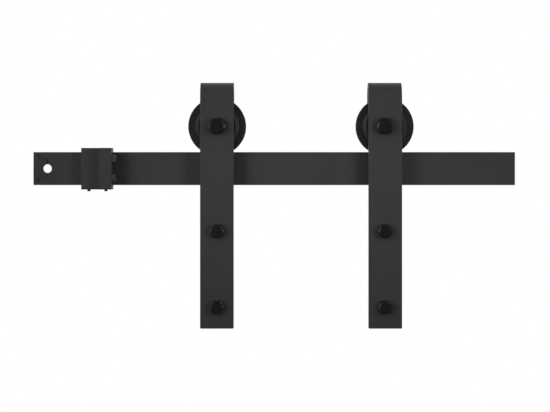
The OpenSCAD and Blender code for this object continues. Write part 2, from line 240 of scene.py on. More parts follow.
# %% [markdown]
# ## Softboxes
#
# In the photograph each strap shades the rail on both of its sides, and the inner sides are darker: there is
# a softbox to the left and one to the right of the camera, about level with the rail. Two higher ones make
# the chamfers of the bolt heads flash, and one above and behind draws the bright line on the crest of each
# strap. Two more behind keep the back readable in other views. One large lamp would be simpler, but its
# light would wrap round the straps and wash the shading out, so most of these have a narrow spread.

# %% Softboxes
AIM = Vector((0.09, 0, 0))
# Places and sizes are in metres, and the spread is in degrees
SOFTBOXES = {
    "left_softbox": {"at": (-0.66, -0.62, 0.02), "size": (0.60, 0.60), "watts": 0.64, "spread": 50},
    "left_high_softbox": {"at": (-0.66, -0.60, 0.40), "size": (0.30, 0.30), "watts": 0.24, "spread": 50},
    "right_softbox": {"at": (0.84, -0.62, 0.02), "size": (0.30, 0.30), "watts": 0.36, "spread": 50},
    "right_high_softbox": {"at": (0.74, -0.60, 0.50), "size": (0.30, 0.30), "watts": 0.18, "spread": 50},
    "top_softbox": {"at": (0.09, 0.75, 0.95), "size": (1.20, 0.50), "watts": 1.8, "spread": 180},
    "back_left_softbox": {"at": (-0.66, 0.90, 0.30), "size": (0.50, 0.50), "watts": 0.8, "spread": 60},
    "back_right_softbox": {"at": (0.84, 0.90, 0.30), "size": (0.50, 0.50), "watts": 0.8, "spread": 60},
}

for name, box in SOFTBOXES.items():
    lamp = bpy.data.lights.new(name, "AREA")
    lamp.shape = "RECTANGLE"
    lamp.size, lamp.size_y = box["size"]
    lamp.energy = box["watts"]
    lamp.spread = math.radians(box["spread"])
    holder = bpy.data.objects.new(name, lamp)
    holder.location = box["at"]
    holder.rotation_euler = (AIM - Vector(box["at"])).to_track_quat("-Z", "Y").to_euler()
    holder.visible_camera = False
    scene.collection.objects.link(holder)
print("softboxes:", len(SOFTBOXES))

# %% [markdown]
# ## What every finish shares
#
# A real surface is never one flat colour: its tone, its gloss and its relief vary a little, each at its own
# scale. An image could hold that, but a pattern of nodes needs no file and stays sharp from near. So each
# material is one Principled shader, and patterns sized in millimetres drive those three between two limits.
# The black finishes have a low specular level: the white studio stands all round them, and at the usual 0.5
# its reflection would turn them grey.

# %% Shader helpers
def new_material(name):
    """An empty material with its tree, its Object coordinates and its Principled shader."""
    material = bpy.data.materials.new(name)
    material.use_nodes = True
    tree = material.node_tree
    tree.nodes.clear()
    place = node(tree, "ShaderNodeTexCoord").outputs["Object"]
    shader = node(tree, "ShaderNodeBsdfPrincipled")
    node(tree, "ShaderNodeOutputMaterial", {"Surface": shader.outputs[0]})
    return material, tree, place, shader


def per_metre(size_mm):
    """The scale of a pattern whose features are this many millimetres wide."""
    return 1 / (size_mm * MM)


def drive(tree, shader, look, tone, sheen, relief):
    """Lets patterns drive a shader's tone, roughness and relief, between the limits that a look gives."""
    dark, light = [linear(colour) for colour in look["tones"]]
    smooth, rough = look["roughness"]
    # A Mix node has a pair of inputs for each kind of data: 6 and 7 are the two colours, output 2 their mix
    colour = node(tree, "ShaderNodeMix", {"Factor": tone, 6: dark, 7: light}, data_type="RGBA")
    gloss = node(tree, "ShaderNodeMapRange", {"Value": sheen, "To Min": smooth, "To Max": rough})
    bump = node(
        tree,
        "ShaderNodeBump",
        {"Height": relief, "Strength": look["bump"], "Distance": look["depth_mm"] * MM},
    )
    shader.inputs["Metallic"].default_value = look["metallic"]
    shader.inputs["Specular IOR Level"].default_value = look["specular"]
    tree.links.new(colour.outputs[2], shader.inputs["Base Color"])
    tree.links.new(gloss.outputs[0], shader.inputs["Roughness"])
    tree.links.new(bump.outputs[0], shader.inputs["Normal"])


print("a pattern of 2 mm has scale", per_metre(2))

# %% [markdown]
# ## Powder coat
#
# Rail, straps and stop, with the stop's two bolts, are mild steel under black powder coat: a baked polyester
# skin that melts to a satin film. It is a plastic over metal, so the shader is not metallic. The eye gets a
# soft sheen, a faint orange peel of a few millimetres, and a slow drift in tone where the film is a little
# thicker. A plain dark colour would lose all three, so a fine noise gives the peel and a wide one the drift.

# %% Material: satin black powder coat
PEEL_MM = 2.2
PEEL_DETAIL = 2
DRIFT_MM = 60
COAT = {
    "tones": ("#323232", "#383838"), "roughness": (0.44, 0.54), "metallic": 0.0, "specular": 0.1,
    "bump": 0.35, "depth_mm": 0.15,
}

powder_coat, tree, place, shader = new_material("satin_black_powder_coat")
# The peel is drawn a little coarser than it is, so that it shows at a pixel of over a millimetre
peel = node(
    tree, "ShaderNodeTexNoise", {"Vector": place, "Scale": per_metre(PEEL_MM), "Detail": PEEL_DETAIL}
).outputs[0]
drift = node(tree, "ShaderNodeTexNoise", {"Vector": place, "Scale": per_metre(DRIFT_MM)}).outputs[0]
drive(tree, shader, COAT, tone=drift, sheen=peel, relief=peel)
print("made", powder_coat.name)

# %% [markdown]
# ## Black oxide
#
# The bolts, nuts and washers of the hangers, and the stop's set screws, are steel with a black oxide skin,
# which is an oiled conversion layer and not a paint. They could share the coat's material, but the oxide is
# darker and smoother: flat faces look almost black, and the small chamfers of the heads flash where they
# meet a lamp. A fine grain breaks the gloss up, and a wider stain shows where the oil is thicker.

# %% Material: oiled black oxide steel
GRAIN_MM = 1.2
GRAIN_DETAIL = 3
STAIN_MM = 9
OXIDE = {
    "tones": ("#0a0a0b", "#121213"), "roughness": (0.20, 0.30), "metallic": 0.0, "specular": 0.09,
    "bump": 0.12, "depth_mm": 0.05,
}

black_oxide, tree, place, shader = new_material("oiled_black_oxide_steel")
# The grain is drawn coarser than it is, so that it shows in the render
grain = node(
    tree, "ShaderNodeTexNoise", {"Vector": place, "Scale": per_metre(GRAIN_MM), "Detail": GRAIN_DETAIL}
).outputs[0]
stain = node(tree, "ShaderNodeTexNoise", {"Vector": place, "Scale": per_metre(STAIN_MM)}).outputs[0]
drive(tree, shader, OXIDE, tone=stain, sheen=stain, relief=grain)
print("made", black_oxide.name)

# %% [markdown]
# ## Turned surfaces
#
# The wheel is turned from black nylon, the spacers, shields and cage are zinc-plated steel, the races and
# balls are ground steel, and a ring of blue nylon sits in each locking nut. A lathe leaves fine rings round
# the axle. Object coordinates don't know where the axle is, so each turned piece carries its radius as an
# attribute, and one sine of that radius gives the rings on every piece, wherever it sits.

# %% Looks of the turned materials
TURNED = {
    # Nylon from the lathe gives a dull black with a soft sheen in rings
    "turned_black_nylon": {
        "tones": ("#0f0f10", "#161617"), "roughness": (0.40, 0.52), "metallic": 0.0, "specular": 0.14,
        "bump": 0.2, "depth_mm": 0.05, "cloud_mm": 14, "rings_mm": 1.6,
    },
    # Zinc plate gives a bright grey that is a little cloudy
    "zinc_plated_steel": {
        "tones": ("#7f8489", "#a2a7ac"), "roughness": (0.26, 0.40), "metallic": 1.0, "specular": 0.5,
        "bump": 0.2, "depth_mm": 0.03, "cloud_mm": 5, "rings_mm": 0.7,
    },
    # Ground steel gives an even silver that mirrors what is round it
    "ground_bearing_steel": {
        "tones": ("#b4b8bc", "#c6cacd"), "roughness": (0.12, 0.20), "metallic": 1.0, "specular": 0.5,
        "bump": 0.2, "depth_mm": 0.01, "cloud_mm": 4, "rings_mm": 0.5,
    },
    # Moulded nylon gives a waxy blue that tells a locking nut from a plain one
    "moulded_blue_nylon": {
        "tones": ("#26405c", "#30506f"), "roughness": (0.38, 0.50), "metallic": 0.0, "specular": 0.4,
        "bump": 0.2, "depth_mm": 0.02, "cloud_mm": 3, "rings_mm": 0.8,
    },
}
print("turned looks:", len(TURNED))

# %% Materials: turned nylon, zinc plate, bearing steel and a nylon ring
RADIUS_NAME = "turn_radius"

turned_materials = {}
for name, look in TURNED.items():
    turned_materials[name], tree, place, shader = new_material(name)
    cloud = node(
        tree, "ShaderNodeTexNoise", {"Vector": place, "Scale": per_metre(look["cloud_mm"])}
    ).outputs[0]
    radius = node(tree, "ShaderNodeAttribute", attribute_name=RADIUS_NAME).outputs["Fac"]
    # The rings are drawn wider apart than a lathe leaves them, so that they show in the render
    ring_scale = 2 * math.pi * per_metre(look["rings_mm"])
    angle = node(tree, "ShaderNodeMath", {0: radius, 1: ring_scale}, operation="MULTIPLY").outputs[0]
    rings = node(tree, "ShaderNodeMath", {0: angle}, operation="SINE").outputs[0]
    drive(tree, shader, look, tone=cloud, sheen=cloud, relief=rings)
MATERIALS = {
    "powder_coat": powder_coat,
    "black_oxide": black_oxide,
    "black_nylon": turned_materials["turned_black_nylon"],
    "zinc_steel": turned_materials["zinc_plated_steel"],
    "bearing_steel": turned_materials["ground_bearing_steel"],
    "nylon_insert": turned_materials["moulded_blue_nylon"],
}
print("made", ", ".join(turned_materials))

# %% [markdown]
# ## From a rough piece to a finished one
#
# Every piece ends the same way: its modifiers are turned into a plain mesh, flat faces keep flat shading
# beside their rounded edges, and the piece rides on its body and stands for its CAD node. Smooth shading
# alone would draw soft gradients over flat steel. Weighted normals let the large flat faces set the normals
# instead, so that a narrow bevel looks round and the flat beside it looks flat.

# %% Finishing helpers
SHARP_ANGLE = math.radians(38)
slot_of = {row["node"]: row["material_slot"] for row in frame["record"]["subparts"]}
body_of = {
    name: body for body, names in frame["record"]["behaviour"]["bodies"].items() for name in names
}


def new_piece(name, mesh):
    """An object at the origin, linked to the scene."""
    piece = bpy.data.objects.new(name, mesh)
    scene.collection.objects.link(piece)
    return piece


def settle(piece):
    """Turns a piece with its modifiers into a plain mesh."""
    ready = piece.evaluated_get(bpy.context.evaluated_depsgraph_get())
    mesh = bpy.data.meshes.new_from_object(ready)
    piece.modifiers.clear()
    piece.data = mesh


def hand_over(piece, cad_node):
    """Shades a finished piece, and puts it in the place of its CAD node."""
    piece.data.shade_smooth()
    piece.data.set_sharp_from_angle(angle=SHARP_ANGLE)
    shading = piece.modifiers.new("weighted normals", "WEIGHTED_NORMAL")
    shading.keep_sharp = True
    settle(piece)
    piece.data.materials.clear()
    piece.data.materials.append(MATERIALS[slot_of[cad_node]])
    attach(piece, body_of[cad_node])
    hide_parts(cad_node)
    return piece


print("nodes to dress:", len(slot_of))

# %% [markdown]
# ## Sawn and cast steel
#
# Rail, joint and stop, with the stop's bolts and screws, have their true form in the solids already, with
# every hole, lip and seat. They could be modelled again, but only their edges are too sharp: powder coat
# flows round an edge and leaves a radius of some tenths of a millimetre. So a copy of the solid is merged,
# its flat faces are made whole again, and a Bevel rounds the outer edges over 30 degrees. Inner edges stay
# sharp, and so do the rims of holes that a bolt or screw fills.

# %% Copies of the solids
MERGE_DISTANCE = 0.002 * MM
FLAT_ANGLE = math.radians(0.4)
EDGE_ANGLE = math.radians(30)


def cad_shape(name):
    """A merged copy of a CAD node, with the triangles of each flat face joined."""
    shape = bmesh.new()
    shape.from_mesh(frame["nodes"][name].data)
    bmesh.ops.remove_doubles(shape, verts=shape.verts, dist=MERGE_DISTANCE)
    bmesh.ops.dissolve_limit(
        shape, angle_limit=FLAT_ANGLE, use_dissolve_boundaries=False, verts=shape.verts, edges=shape.edges
    )
    return shape


def is_outer(edge):
    """Whether an edge is one of a shape's outer corners."""
    return edge.is_convex and edge.calc_face_angle(0) > EDGE_ANGLE


def is_bore(face):
    """Whether a face is one of the narrow flats in a bored hole."""
    hollow = [edge.calc_face_angle(0) for edge in face.edges if not edge.is_convex]
    return any(FLAT_ANGLE < angle < EDGE_ANGLE for angle in hollow)


print("edges are rounded over", round(math.degrees(EDGE_ANGLE)), "degrees")

# %% Bevelled pieces
EDGE_SEGMENTS = 3
BAR_EDGE = 0.3 * MM
STOP_EDGE = 0.4 * MM
SCREW_EDGE = 0.15 * MM
EDGES = {
    "rail": BAR_EDGE,
    "rail_joint_tongue": BAR_EDGE,
    "stop_body": STOP_EDGE,
    "stop_bolts": SCREW_EDGE,
    "stop_set_screws": SCREW_EDGE,
}
# Bolts and screws fill every hole of the stop
FILLED_HOLES = {"stop_body"}


def bevelled(name, shape, width, segments=EDGE_SEGMENTS, rims=True):
    """A piece made from a shape, with its outer edges rounded, and the rims of its bores if they show."""
    shape.normal_update()
    weight = shape.edges.layers.float.new("bevel_weight_edge")
    for edge in shape.edges:
        shows = rims or not any(map(is_bore, edge.link_faces))
        edge[weight] = float(is_outer(edge) and shows)
    piece = new_piece(name, to_mesh(name, shape))
    bevel = piece.modifiers.new("rounded edges", "BEVEL")
    bevel.width = width
    bevel.segments = segments
    bevel.limit_method = "WEIGHT"
    bevel.use_clamp_overlap = False
    bevel.loop_slide = False
    settle(piece)
    return piece


for name, width in EDGES.items():
    rims = name not in FILLED_HOLES
    piece = hand_over(bevelled(f"dressed_{name}", cad_shape(name), width, rims=rims), name)
    print(piece.name, len(piece.data.polygons), "faces")

# %% [markdown]
# ## Seam of the rail joint
#
# Where the two rail lengths meet, the photograph shows two dark lines beside the wall hole and no daylight.
# The gap could be drawn on the rail as a dark line, but a real gap takes its shade from the light. So a thin
# sheet of coat, set just under the back face, closes it above the hole and below it and keeps the seam in
# shade: it stands in for shade, not for a part of the rail. It follows the seam down the shoulder, along the
# tongue and down its end, and reaches a little into the steel on both sides.

# %% Shade sheet in the joint's seam
TONGUE_HALF = 12 * MM
JOINT_GAP = 0.6 * MM
HOLE_CLEAR = 6 * MM
FILM_REACH = 0.8 * MM
FILM_FRONT = -0.6 * MM
FILM_BACK = -0.1 * MM

shoulder_x = rail_low.x - JOINT_GAP / 2
tongue_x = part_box("rail_joint_tongue")[1].x + JOINT_GAP / 2
seam_top = rail_high.z - FILM_REACH
# The strip's outline above the hole, across and up
STRIP = [
    (shoulder_x - FILM_REACH, seam_top),
    (shoulder_x - FILM_REACH, TONGUE_HALF - FILM_REACH),
    (tongue_x - FILM_REACH, TONGUE_HALF - FILM_REACH),
    (tongue_x - FILM_REACH, HOLE_CLEAR),
    (tongue_x + FILM_REACH, HOLE_CLEAR),
    (tongue_x + FILM_REACH, TONGUE_HALF + FILM_REACH),
    (shoulder_x + FILM_REACH, TONGUE_HALF + FILM_REACH),
    (shoulder_x + FILM_REACH, seam_top),
]
shape = bmesh.new()
for half in (1, -1):
    strip = shape.faces.new([shape.verts.new((x, FILM_FRONT, half * z)) for x, z in STRIP])
    back = bmesh.ops.extrude_face_region(shape, geom=[strip], use_keep_orig=True)["geom"]
    moved = [item for item in back if isinstance(item, bmesh.types.BMVert)]
    bmesh.ops.translate(shape, verts=moved, vec=(0, FILM_BACK - FILM_FRONT, 0))
bmesh.ops.recalc_face_normals(shape, faces=shape.faces)
# Painted shade: this sheet is only there to keep the seam dark, and the real rail has no such sheet
shading_sheet = new_piece("seam_shade_sheet", to_mesh("seam_shade_sheet", shape))
shading_sheet.data.materials.append(powder_coat)
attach(shading_sheet, body_of["rail"])
print(shading_sheet.name, len(shading_sheet.data.polygons), "faces")

# %% [markdown]
# ## Geometry Nodes trees
#
# What is bent along a path, turned on a lathe, cut as a thread or set round a circle follows a rule. Each
# could be modelled by hand, but a tree of nodes holds the rule itself, with named inputs for its sizes. A
# helper makes an empty tree with its inputs, and another runs a tree on a starting mesh and keeps the result
# as a plain mesh.

# %% Tree helpers
KINDS = {
    "count": "NodeSocketInt",
    "size": "NodeSocketFloat",
    "vector": "NodeSocketVector",
    "material": "NodeSocketMaterial",
}


def new_tree(name, **inputs):
    """A Geometry Nodes tree with named inputs, each given as its kind, and the sockets that they feed."""
    tree = bpy.data.node_groups.new(name, "GeometryNodeTree")
    tree.interface.new_socket("Geometry", in_out="INPUT", socket_type="NodeSocketGeometry")
    for label, kind in inputs.items():
        tree.interface.new_socket(label, in_out="INPUT", socket_type=KINDS[kind])
    tree.interface.new_socket("Geometry", in_out="OUTPUT", socket_type="NodeSocketGeometry")
    return tree, node(tree, "NodeGroupInput").outputs


def end_tree(tree, geometry, material):
    """Makes instances real, gives them their material and ends the tree."""
    real = node(tree, "GeometryNodeRealizeInstances", {"Geometry": geometry}).outputs[0]
    dressed = node(tree, "GeometryNodeSetMaterial", {"Geometry": real, "Material": material}).outputs[0]
    node(tree, "NodeGroupOutput", {"Geometry": dressed})
    print("tree", tree.name, "has", len(tree.nodes), "nodes")


def grow(name, tree, start, **values):
    """Runs a tree on a starting mesh, and keeps the result as a plain mesh."""
    piece = new_piece(name, start)
    modifier = piece.modifiers.new(tree.name, "NODES")
    modifier.node_group = tree
    for item in tree.interface.items_tree:
        if item.in_out == "INPUT" and item.name in values:
            modifier[item.identifier] = values[item.name]
    settle(piece)
    return piece


def polyline(points, closed):
    """A mesh of points joined by edges."""
    mesh = bpy.data.meshes.new("line")
    edges = [(i, i + 1) for i in range(len(points) - 1)]
    if closed:
        edges.append((len(points) - 1, 0))
    mesh.from_pydata(points, edges, [])
    return mesh


print("inputs come as", ", ".join(KINDS))

# %% [markdown]
# ## The bent straps
#
# A strap is one flat bar, bent round into a J. In Blender it could be a box bent by a modifier, but a bar
# that follows a path is a sweep: four corner points, rounded by the radius of the bend, give the path of its
# middle, and a rectangle swept along it gives the bar.

# %% Tree: bent bar
BEND_STEPS = 32
CREST_MERGE = 0.2 * MM

strap_tree, sizes = new_tree(
    "bent_strap", Width="size", Thickness="size", Bend="size", Axle="vector", AxleHoleRadius="size",
    FirstBolt="vector", BoltStep="vector", BoltHoleRadius="size", BoltDepth="size", Material="material",
)
path = node(strap_tree, "GeometryNodeMeshToCurve", {"Mesh": sizes["Geometry"]})
path = node(
    strap_tree,
    "GeometryNodeFilletCurve",
    {"Curve": path.outputs[0], "Radius": sizes["Bend"], "Limit Radius": True, "Count": BEND_STEPS},
    mode="POLY",
)
path = node(strap_tree, "GeometryNodeSetCurveNormal", {"Curve": path.outputs[0]}, mode="Z_UP")
section = node(
    strap_tree,
    "GeometryNodeCurvePrimitiveQuadrilateral",
    {"Width": sizes["Width"], "Height": sizes["Thickness"]},
)
bar = node(
    strap_tree,
    "GeometryNodeCurveToMesh",
    {"Curve": path.outputs[0], "Profile Curve": section.outputs[0], "Fill Caps": True},
)
# The two rounded corners of the path meet in one point at the crest
bar = node(strap_tree, "GeometryNodeMergeByDistance", {"Geometry": bar.outputs[0], "Distance": CREST_MERGE})
print("a bend has", BEND_STEPS, "steps")

# %% [markdown]
# The same tree drills the holes, because a hole has to follow the bar when its sizes change. A long drill
# goes through both legs for the axle, a short one on each of two points goes through the front leg for the
# door's bolts, and one Boolean cuts them all.

# %% Tree: holes in the bar
HOLE_SIDES = 48
DRILL_DEPTH = 200 * MM
BOLTS_PER_STRAP = 2

axle_drill = node(
    strap_tree,
    "GeometryNodeMeshCylinder",
    {"Vertices": HOLE_SIDES, "Radius": sizes["AxleHoleRadius"], "Depth": DRILL_DEPTH},
)
axle_drill = node(
    strap_tree,
    "GeometryNodeTransform",
    {"Geometry": axle_drill.outputs[0], "Translation": sizes["Axle"], "Rotation": TO_WALL},
)
bolt_drill = node(
    strap_tree,
    "GeometryNodeMeshCylinder",
    {"Vertices": HOLE_SIDES, "Radius": sizes["BoltHoleRadius"], "Depth": sizes["BoltDepth"]},
)
bolt_places = node(
    strap_tree,
    "GeometryNodeMeshLine",
    {"Count": BOLTS_PER_STRAP, "Start Location": sizes["FirstBolt"], "Offset": sizes["BoltStep"]},
)
bolt_drills = node(
    strap_tree,
    "GeometryNodeInstanceOnPoints",
    {"Points": bolt_places.outputs[0], "Instance": bolt_drill.outputs[0], "Rotation": TO_WALL},
)
bolt_drills = node(strap_tree, "GeometryNodeRealizeInstances", {"Geometry": bolt_drills.outputs[0]})
drills = node(strap_tree, "GeometryNodeJoinGeometry")
for drill in (axle_drill, bolt_drills):
    strap_tree.links.new(drill.outputs[0], drills.inputs[0])
drilled = node(
    strap_tree,
    "GeometryNodeMeshBoolean",
    {0: bar.outputs[0], 1: drills.outputs[0]},
    operation="DIFFERENCE",
    solver="EXACT",
)
end_tree(strap_tree, drilled.outputs["Mesh"], sizes["Material"])

# %% [markdown]
# Sizes and places come from the boxes of the solids, so a strap stays in step with its wheel, its spacers
# and its washers. A sawn bar has its corners eased before it is coated: the four corners at the ends of the
# bar get a small radius, and a Bevel afterwards rounds the long edges, the ends and the rims of the holes.

# %% Measures from the solids
def middle(name):
    """The middle of a CAD node's box."""
    low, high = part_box(name)
    return (low + high) / 2


def outer_radius(name):
    """The radius of a round CAD node, from its width."""
    low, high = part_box(name)
    return (high.x - low.x) / 2


def bolt_pair(side):
    """The middles of the lower and the upper bolt of a strap, in the plane of the wall."""
    washers = f"{side}_door_washers"
    low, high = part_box(washers)
    reach = outer_radius(washers)
    x = middle(washers).x
    return Vector((x, 0, low.z + reach)), Vector((x, 0, high.z - reach))


for side in SIDES:
    lower_bolt, upper_bolt = bolt_pair(side)
    print(side, "bolts are", round((upper_bolt.z - lower_bolt.z) / MM, 1), "mm apart")

# %% Corners of a strap
STRAP_CORNER = 1.5 * MM
CORNER_SEGMENTS = 6
ROUND_PROFILE = 0.5
# A direction with more than this share along an axis counts as running along it
PARALLEL = 0.99


def round_corners(shape, axle_z):
    """Rounds the corners at both ends of a strap: its outer edges below the axle that run along Y."""
    corners = []
    for edge in shape.edges:
        start, end = edge.verts[0].co, edge.verts[1].co
        if is_outer(edge) and start.z < axle_z and abs((end - start).normalized().y) > PARALLEL:
            corners.append(edge)
    bmesh.ops.bevel(
        shape, geom=corners, offset=STRAP_CORNER, segments=CORNER_SEGMENTS, profile=ROUND_PROFILE,
        affect="EDGES",
    )
    return len(corners)


print(f"the corners of a strap's ends have a radius of {STRAP_CORNER / MM:.1f} mm")

# %% Straps
BACK_LEG_REACH = 25 * MM
AXLE_HOLE_RADIUS = 6.25 * MM
BOLT_HOLE_RADIUS = 5.5 * MM
STRAP_EDGE = 0.7 * MM
STRAP_EDGE_SEGMENTS = 4


def as_shape(piece):
    """The mesh of a piece as a shape to work on, without its object."""
    shape = bmesh.new()
    shape.from_mesh(piece.data)
    bpy.data.objects.remove(piece)
    return shape


for side in SIDES:
    cad_node = f"{side}_strap"
    low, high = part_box(cad_node)
    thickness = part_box(f"{side}_axle_spacers")[0].y - low.y
    axle = middle(f"{side}_wheel")
    lower_bolt, upper_bolt = bolt_pair(side)
    front = low.y + thickness / 2
    back = high.y - thickness / 2
    top = high.z - thickness / 2
    corner_points = [
        (axle.x, front, low.z),
        (axle.x, front, top),
        (axle.x, back, top),
        (axle.x, back, axle.z - BACK_LEG_REACH),
    ]
    bent = grow(
        f"dressed_{cad_node}", strap_tree, polyline(corner_points, closed=False),
        Width=high.x - low.x, Thickness=thickness, Bend=(back - front) / 2,
        Axle=axle, AxleHoleRadius=AXLE_HOLE_RADIUS,
        FirstBolt=lower_bolt + Vector((0, front, 0)), BoltStep=upper_bolt - lower_bolt,
        BoltHoleRadius=BOLT_HOLE_RADIUS, BoltDepth=2 * thickness, Material=powder_coat,
    )
    shape = as_shape(bent)
    rounded = round_corners(shape, axle.z)
    strap = bevelled(f"dressed_{cad_node}", shape, STRAP_EDGE, STRAP_EDGE_SEGMENTS)
    hand_over(strap, cad_node)
    print(strap.name, "with", rounded, "rounded corners,", len(strap.data.polygons), "faces")

# %% [markdown]
# ## Wheels, races, washers and spacers
#
# All of these are turned: one section, swept once round the axle. The Screw modifier or a spin could do it
# too. A tree does it for every piece alike: it rounds the corners of the section, sweeps it round a small
# circle, notes each point's radius for the lathe rings, and sets as many copies as a piece needs along a
# line.

# %% Tree: turned ring
RING_STEPS = 128
CORNER_STEPS = 2
LATHE_RADIUS = 1 * MM
ACROSS_AXLE = (1, 1, 0)

ring_tree, sizes = new_tree(
    "turned_ring", Corner="size", Count="count", Start="vector", Step="vector", Material="material",
)
section = node(ring_tree, "GeometryNodeMeshToCurve", {"Mesh": sizes["Geometry"]})
section = node(
    ring_tree,
    "GeometryNodeFilletCurve",
    {"Curve": section.outputs[0], "Radius": sizes["Corner"], "Limit Radius": True, "Count": CORNER_STEPS},
    mode="POLY",
)
lathe = node(
    ring_tree, "GeometryNodeCurvePrimitiveCircle", {"Resolution": RING_STEPS, "Radius": LATHE_RADIUS}
)
lathe = node(ring_tree, "GeometryNodeSetCurveNormal", {"Curve": lathe.outputs[0]}, mode="Z_UP")
ring = node(
    ring_tree,
    "GeometryNodeCurveToMesh",
    {"Curve": lathe.outputs[0], "Profile Curve": section.outputs[0]},
)
point = node(ring_tree, "GeometryNodeInputPosition").outputs[0]
across = node(ring_tree, "ShaderNodeVectorMath", {0: point, 1: ACROSS_AXLE}, operation="MULTIPLY")
radius = node(ring_tree, "ShaderNodeVectorMath", {0: across.outputs[0]}, operation="LENGTH")
ring = node(
    ring_tree,
    "GeometryNodeStoreNamedAttribute",
    {"Geometry": ring.outputs[0], "Name": RADIUS_NAME, "Value": radius.outputs["Value"]},
    data_type="FLOAT",
    domain="POINT",
)
places = node(
    ring_tree,
    "GeometryNodeMeshLine",
    {"Count": sizes["Count"], "Start Location": sizes["Start"], "Offset": sizes["Step"]},
)
rings = node(
    ring_tree,
    "GeometryNodeInstanceOnPoints",
    {"Points": places.outputs[0], "Instance": ring.outputs[0], "Rotation": TO_WALL},
)
end_tree(ring_tree, rings.outputs[0], sizes["Material"])

# %% [markdown]
# A section is a list of points, each a radius and a place along the axle, in millimetres. The front half is
# written down and mirrored to the back. The wheel's groove has flared sides that keep it on the rail, and
# its hub stands out on both sides to hold the bearing. The two races have the track of the balls between
# their halves, as an arc.

# %% Section of the wheel
# Radii, and half widths along the axle, in millimetres
BEARING_SEAT = 16.04
SEAT_HALF = 5.04
SEAT_LIP = 14.2
HUB_RADIUS = 23
HUB_HALF = 10
WEB_RADIUS = 26.5
RIM_HALF = 7.6
RIM_EASE = 0.8
WHEEL_RADIUS = 35
FLARE_HALF = 4.6
TREAD_RADIUS = 31
TREAD_HALF = 3.6
WHEEL_CORNER = 0.6


def mirrored(half, between=()):
    """A closed section from its front half, and what lies between the two halves."""
    return half + list(between) + [(r, -y) for r, y in reversed(half)]


wheel_section = mirrored([
    (BEARING_SEAT, SEAT_HALF),
    (SEAT_LIP, SEAT_HALF),
    (SEAT_LIP, HUB_HALF),
    (HUB_RADIUS, HUB_HALF),
    (WEB_RADIUS, RIM_HALF),
    (WHEEL_RADIUS - RIM_EASE, RIM_HALF),
    (WHEEL_RADIUS, RIM_HALF - RIM_EASE),
    (WHEEL_RADIUS, FLARE_HALF),
    (TREAD_RADIUS, TREAD_HALF),
])
print("the wheel's section has", len(wheel_section), "points")

# %% Sections of the races
# Radii, and half widths along the axle, in millimetres
AXLE_BORE = 6.04
BEARING_RADIUS = 16
BEARING_HALF = 5
SHIELD_RADIUS = 13.4
SHIELD_SEAT = 4.2
BALL_PITCH = 11
TRACK_RADIUS = 3.1
TRACK_SHOULDER = 1.8
TRACK_STEPS = 12
RACE_CORNER = 0.2


def ball_track(away):
    """The ball track in the section of a race, as an arc round the middle of a ball."""
    half = math.acos(TRACK_SHOULDER / TRACK_RADIUS)
    turns = [half * (1 - 2 * i / TRACK_STEPS) for i in range(TRACK_STEPS + 1)]
    return [(BALL_PITCH + away * TRACK_RADIUS * math.cos(t), TRACK_RADIUS * math.sin(t)) for t in turns]


outer_race = [
    (BEARING_RADIUS, BEARING_HALF),
    (SHIELD_RADIUS, BEARING_HALF),
    (SHIELD_RADIUS, SHIELD_SEAT),
    (BALL_PITCH + TRACK_SHOULDER, SHIELD_SEAT),
]
inner_race = [(AXLE_BORE, BEARING_HALF), (BALL_PITCH - TRACK_SHOULDER, BEARING_HALF)]
SECTIONS = {
    "wheel": (wheel_section, WHEEL_CORNER),
    "bearing_outer_race": (mirrored(outer_race, ball_track(1)), RACE_CORNER),
    "bearing_inner_race": (mirrored(inner_race, ball_track(-1)), RACE_CORNER),
}
print("sections:", ", ".join(SECTIONS))

# %% [markdown]
# Washers, spacers, shields and the nut's ring are plain tubes, whose outer size and places come from the
# boxes of their solids. Where a box is longer than one tube, or higher than it is wide, it holds a pair, and
# the tree sets the second one at the far end.

# %% Turned pieces
# Bore radius, length and corner radius in millimetres
TUBES = {
    "axle_spacers": (AXLE_BORE, 8.0, 0.5),
    "axle_washer": (6.25, 2.5, 0.5),
    "axle_nut_insert": (AXLE_BORE, 2.4, 0.3),
    "bearing_shields": (9.5, 0.6, 0.15),
    "door_washers": (5.25, 2.0, 0.4),
}
# A box that leaves more than this beside one tube holds two of them
PAIR_STEP = 1 * MM


def turn(cad_node, section, corner, count, start, step):
    """A turned piece in the place of its CAD node."""
    line = polyline([(r * MM - LATHE_RADIUS, y * MM, 0) for r, y in section], closed=True)
    piece = grow(
        f"dressed_{cad_node}", ring_tree, line, Corner=corner * MM, Count=count, Start=start, Step=step,
        Material=MATERIALS[slot_of[cad_node]],
    )
    # A section that is listed the other way round would give a ring that is inside out
    shape = bmesh.new()
    shape.from_mesh(piece.data)
    bmesh.ops.recalc_face_normals(shape, faces=shape.faces)
    shape.to_mesh(piece.data)
    shape.free()
    return hand_over(piece, cad_node)


for side in SIDES:
    for name, (section, corner) in SECTIONS.items():
        cad_node = f"{side}_{name}"
        turn(cad_node, section, corner, count=1, start=middle(cad_node), step=Vector())
    for name, (bore, length, corner) in TUBES.items():
        cad_node = f"{side}_{name}"
        low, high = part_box(cad_node)
        outer = outer_radius(cad_node) / MM
        half = length / 2
        section = mirrored([(bore, half), (outer, half)])
        start = Vector((middle(cad_node).x, low.y + half * MM, low.z + outer * MM))
        step = Vector((0, high.y - low.y - length * MM, high.z - low.z - 2 * outer * MM))
        count = 2 if step.length > PAIR_STEP else 1
        turn(cad_node, section, corner, count, start, step)
print("turned", len(SIDES) * (len(SECTIONS) + len(TUBES)), "pieces")

# %% [markdown]
# ## Balls and cage
#
# Seven balls run round the inner race, held apart by a pressed cage. They could be placed one by one, but
# one sphere on each point of a circle is the plain rule for them. The cage keeps its solid form, because its
# windows are cut to the balls already.

# %% Tree and pieces: balls
BALL_COUNT = 7
BALL_RADIUS = 3 * MM
BALL_SEGMENTS = 32
BALL_RINGS = 16

